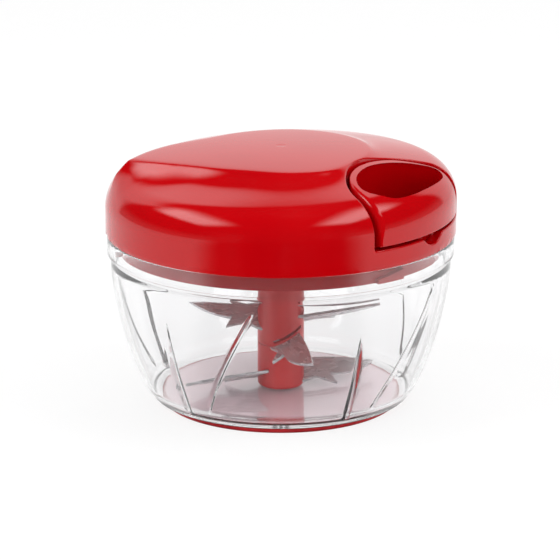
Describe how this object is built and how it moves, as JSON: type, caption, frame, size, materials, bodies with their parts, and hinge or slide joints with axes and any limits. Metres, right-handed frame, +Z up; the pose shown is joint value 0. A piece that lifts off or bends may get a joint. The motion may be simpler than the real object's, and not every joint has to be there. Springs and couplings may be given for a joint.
{
  "type": "manual food chopper",
  "caption": "Hand food chopper with a clear bowl, curved blades on a rotor, and a domed lid whose handle pulls a cord off a recoil reel to spin the blades.",
  "frame": {"origin": "centre of the base pad's underside, on the rotor's axis", "axes": "+Z up along the rotor's axis, +X the way the handle is pulled out"},
  "size_m": [0.124, 0.124, 0.0924],
  "materials": {
    "clear_plastic": "clear moulded",
    "pad_rubber": "matt",
    "polished_steel": "polished",
    "blade_steel": "polished sheet",
    "stem_plastic": "satin",
    "red_gloss": "high gloss",
    "seal_rubber": "soft",
    "bush_plastic": "matt",
    "inner_plastic": "matt",
    "spring_steel": "blued strip",
    "cord": "braided"
  },
  "bodies": {
    "bowl": {"bowl": "clear_plastic", "base_pad": "pad_rubber", "pivot_pin": "polished_steel"},
    "rotor": {"rotor_stem_lower": "stem_plastic", "rotor_stem_upper": "stem_plastic", "blade_lower": "blade_steel", "blade_middle": "blade_steel", "blade_upper": "blade_steel"},
    "seal": {"lid_seal": "seal_rubber"},
    "lid": {"lid_cover": "red_gloss", "lid_base": "red_gloss", "lid_screws": "polished_steel", "lower_bush": "bush_plastic", "upper_bush": "bush_plastic", "cord_grommet": "bush_plastic", "spring_housing": "inner_plastic", "spring_cover": "polished_steel", "housing_screws": "polished_steel", "recoil_spring": "spring_steel", "cord_run": "cord"},
    "reel": {"drive_shaft": "polished_steel", "reel_drum": "inner_plastic", "reel_flange": "inner_plastic", "cord_winding": "cord", "thrust_washer": "polished_steel", "drive_dog": "inner_plastic"},
    "handle": {"pull_handle": "red_gloss", "cord_tail": "cord", "cord_knot": "cord", "cord_plug": "red_gloss"}
  },
  "joints": [
    {"name": "lid_lift", "type": "slide", "parent": "bowl", "child": "seal", "axis": [0, 0, 1], "range_m": [0, 0.12]},
    {"name": "lid_turn", "type": "hinge", "parent": "seal", "child": "lid", "pos_m": [0, 0, 0.062], "axis": [0, 0, 1], "range_deg": [-12.5, 0]},
    {"name": "handle_pull", "type": "slide", "parent": "lid", "child": "handle", "axis": [1, 0, 0], "range_m": [0, 0.3], "stiffness_N_per_m": 8},
    {"name": "reel_spin", "type": "hinge", "parent": "lid", "child": "reel", "pos_m": [0, 0, 0.07], "axis": [0, 0, 1], "range_deg": [0, 955.9]},
    {"name": "rotor_spin", "type": "hinge", "parent": "bowl", "child": "rotor", "pos_m": [0, 0, 0.0065], "axis": [0, 0, 1], "range_deg": [0, 955.9]}
  ],
  "couplings": [
    {"joint": "reel_spin", "follows": "handle_pull", "rad_per_m": 55.556},
    {"joint": "rotor_spin", "follows": "handle_pull", "rad_per_m": 55.556}
  ]
}
